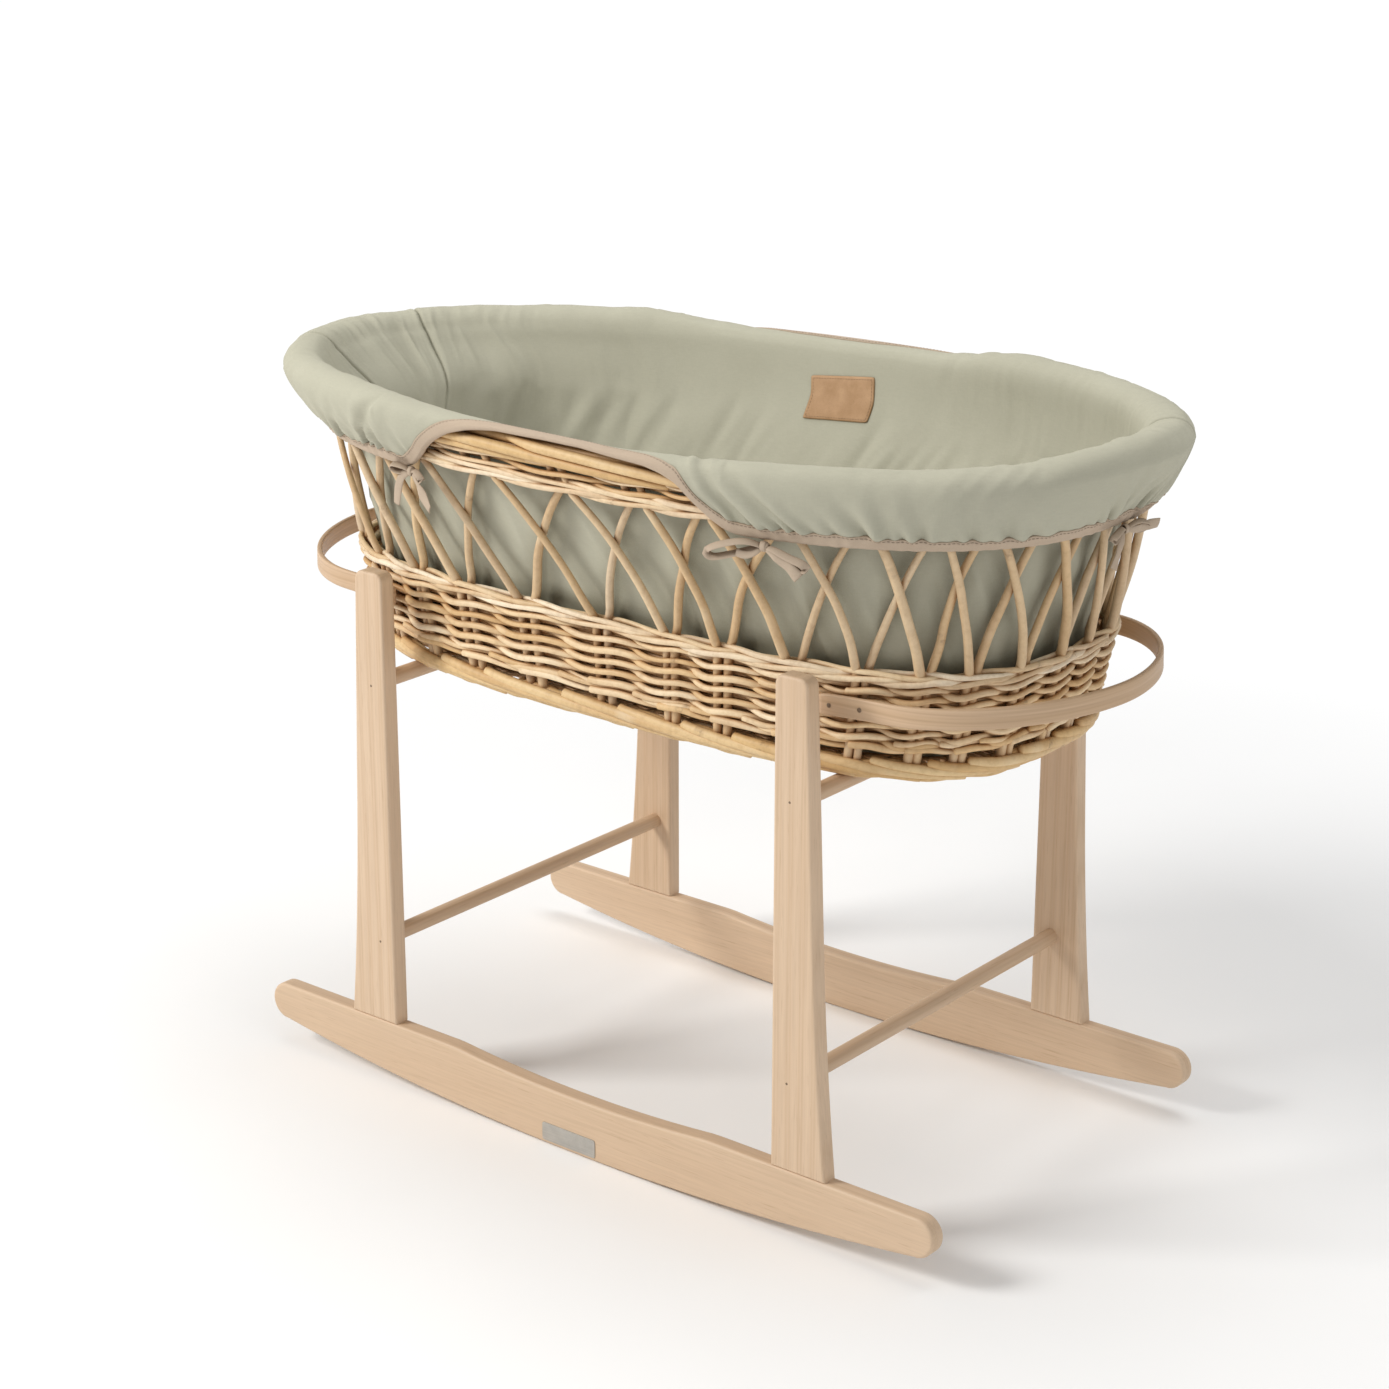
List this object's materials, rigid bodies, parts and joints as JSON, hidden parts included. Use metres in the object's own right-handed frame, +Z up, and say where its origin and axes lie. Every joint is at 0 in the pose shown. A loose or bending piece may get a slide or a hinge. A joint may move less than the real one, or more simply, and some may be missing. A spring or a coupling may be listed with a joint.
{
  "type": "baby cradle",
  "caption": "Oval willow baby basket with an open lattice side and a padded fabric liner, resting on a wooden stand with curved rockers.",
  "frame": {"origin": "on the floor, under the middle of the stand, where the rockers touch the floor at rest", "axes": "+X along the length towards the right end, -Y towards the front rocker with the metal plate, +Z up"},
  "size_m": [0.9791, 0.5146, 0.7282],
  "materials": {
    "pine": "satin lacquered pale pine, straight grain",
    "willow": "natural peeled willow, matt",
    "hoop_wood": "steam-bent wood strip, satin",
    "liner_cotton": "plain woven sage cotton",
    "tape_cotton": "taupe cotton tape, folded and stitched",
    "label_leather": "tan leather, matt",
    "plate_metal": "brushed grey metal",
    "nail_steel": "dull steel",
    "mattress_cotton": "off-white cotton cover"
  },
  "bodies": {
    "stand": {"front_rocker": "pine", "back_rocker": "pine", "leg_front_left": "pine", "leg_front_right": "pine", "leg_back_left": "pine", "leg_back_right": "pine", "upper_crossbar_left": "pine", "upper_crossbar_right": "pine", "lower_crossbar_left": "pine", "lower_crossbar_right": "pine", "leg_pegs": "pine", "crossbar_brads": "nail_steel", "rocker_plate": "plate_metal"},
    "basket": {"base_weave": "willow", "foot_border": "willow", "lower_weave": "willow", "stakes_leaning_left": "willow", "stakes_leaning_right": "willow", "upper_weave": "willow", "rim_border": "willow", "handle_hoop_left": "hoop_wood", "handle_hoop_right": "hoop_wood", "hoop_nails": "nail_steel", "liner_wall": "liner_cotton", "liner_roll_left": "liner_cotton", "liner_roll_right": "liner_cotton", "liner_binding": "tape_cotton", "ribbon_ties": "tape_cotton", "label_patch": "label_leather"},
    "mattress": {"mattress": "mattress_cotton"}
  },
  "joints": [
    {"name": "basket_lift", "type": "slide", "parent": "stand", "child": "basket", "axis": [0, 0, 1], "range_m": [0, 0.2]},
    {"name": "mattress_lift", "type": "slide", "parent": "basket", "child": "mattress", "axis": [0, 0, 1], "range_m": [0, 0.34]}
  ]
}
